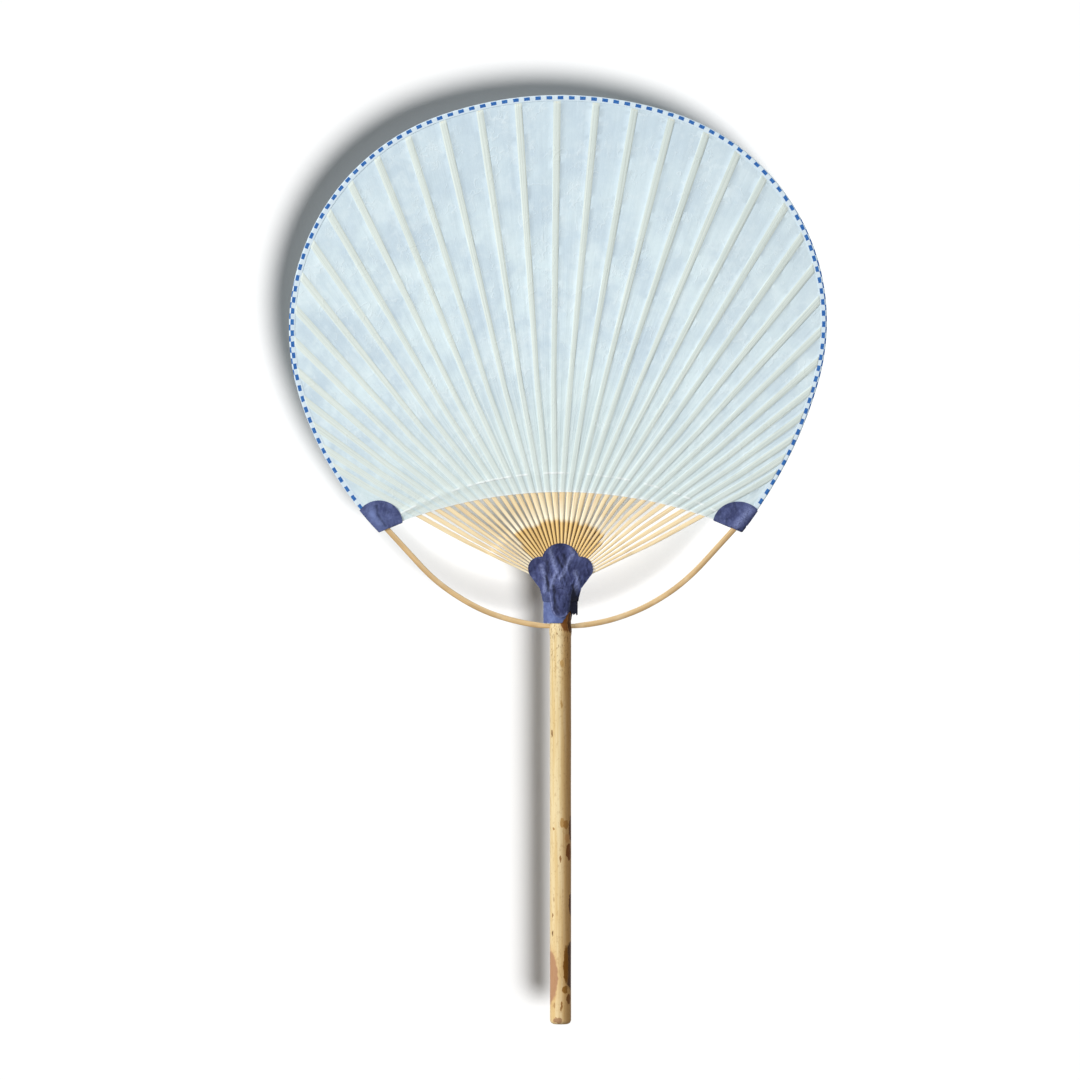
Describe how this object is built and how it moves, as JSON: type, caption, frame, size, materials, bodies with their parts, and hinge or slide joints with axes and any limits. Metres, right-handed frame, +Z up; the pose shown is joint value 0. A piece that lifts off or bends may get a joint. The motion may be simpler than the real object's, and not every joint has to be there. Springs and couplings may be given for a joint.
{
  "type": "round paper hand fan",
  "caption": "Rigid round hand fan: a spotted bamboo handle, bare split ribs above a curved bow, pale paper on both faces, a checked rim tape and indigo neck and corner patches.",
  "frame": {"origin": "on the handle's axis, in the middle of the grip, 90 mm above the handle's lower end", "axes": "+Z up along the handle to the top of the leaf, +X to the right across the leaf, the front face looks along -Y"},
  "size_m": [0.249, 0.0114, 0.43],
  "materials": {
    "handle_bamboo": "satin",
    "split_bamboo": "matte",
    "leaf_paper": "matte",
    "tape_paper": "matte",
    "indigo_paper": "matte",
    "thread": "matte"
  },
  "bodies": {
    "root": {"handle": "handle_bamboo", "rib_head": "split_bamboo", "rib_01": "split_bamboo", "rib_02": "split_bamboo", "rib_03": "split_bamboo", "rib_04": "split_bamboo", "rib_05": "split_bamboo", "rib_06": "split_bamboo", "rib_07": "split_bamboo", "rib_08": "split_bamboo", "rib_09": "split_bamboo", "rib_10": "split_bamboo", "rib_11": "split_bamboo", "rib_12": "split_bamboo", "rib_13": "split_bamboo", "rib_14": "split_bamboo", "rib_15": "split_bamboo", "rib_16": "split_bamboo", "rib_17": "split_bamboo", "rib_18": "split_bamboo", "rib_19": "split_bamboo", "rib_20": "split_bamboo", "rib_21": "split_bamboo", "rib_22": "split_bamboo", "rib_23": "split_bamboo", "rib_24": "split_bamboo", "rib_25": "split_bamboo", "rib_26": "split_bamboo", "rib_27": "split_bamboo", "rib_28": "split_bamboo", "rib_29": "split_bamboo", "rib_30": "split_bamboo", "rib_31": "split_bamboo", "rib_32": "split_bamboo", "rib_33": "split_bamboo", "rib_34": "split_bamboo", "bow": "split_bamboo", "weaving_thread": "thread", "front_paper": "leaf_paper", "back_paper": "leaf_paper", "rim_tape": "tape_paper", "left_ear": "indigo_paper", "right_ear": "indigo_paper", "neck_sleeve": "indigo_paper", "neck_patch_front": "indigo_paper", "neck_patch_back": "indigo_paper"}
  },
  "joints": []
}
